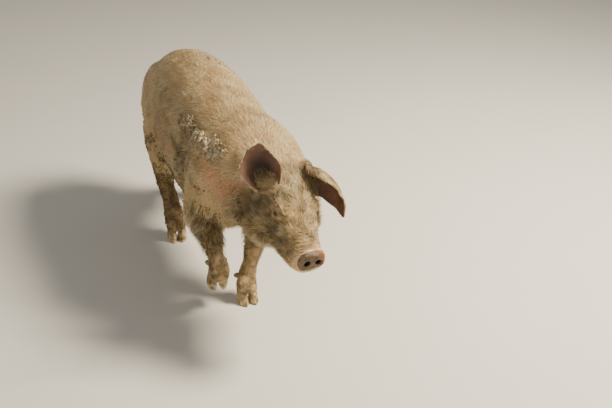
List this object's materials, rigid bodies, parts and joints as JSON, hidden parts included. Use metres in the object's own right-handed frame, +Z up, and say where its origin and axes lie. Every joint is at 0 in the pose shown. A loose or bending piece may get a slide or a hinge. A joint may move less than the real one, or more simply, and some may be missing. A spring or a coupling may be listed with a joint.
{
  "type": "domestic pig model",
  "caption": "Life-size still model of a young domestic pig, walking with its head low and one foreleg lifted.",
  "frame": {"origin": "on the floor, under the middle of the model's bounding box", "axes": "+X along the body towards the head, +Y to the animal's left, +Z up"},
  "size_m": [1.1052, 0.3328, 0.6092],
  "materials": {
    "coat": "short cream bristles over pink skin",
    "muddy_coat": "short bristles coated with olive-brown mud",
    "bare_skin": "bare pinkish skin of ears and snout",
    "horn": "worn yellowish claw horn",
    "eye": "dark wet eye"
  },
  "bodies": {
    "root": {"torso": "coat", "neck": "coat", "head": "coat", "lower_jaw": "coat", "tail": "coat", "fore_left_leg": "muddy_coat", "fore_right_leg": "muddy_coat", "hind_left_leg": "muddy_coat", "hind_right_leg": "muddy_coat", "ear_left": "bare_skin", "ear_right": "bare_skin", "snout_disc": "bare_skin", "eye_left": "eye", "eye_right": "eye", "fore_left_claw_left": "horn", "fore_left_claw_right": "horn", "fore_left_dewclaw_left": "horn", "fore_left_dewclaw_right": "horn", "fore_right_claw_left": "horn", "fore_right_claw_right": "horn", "fore_right_dewclaw_left": "horn", "fore_right_dewclaw_right": "horn", "hind_left_claw_left": "horn", "hind_left_claw_right": "horn", "hind_left_dewclaw_left": "horn", "hind_left_dewclaw_right": "horn", "hind_right_claw_left": "horn", "hind_right_claw_right": "horn", "hind_right_dewclaw_left": "horn", "hind_right_dewclaw_right": "horn"}
  },
  "joints": []
}
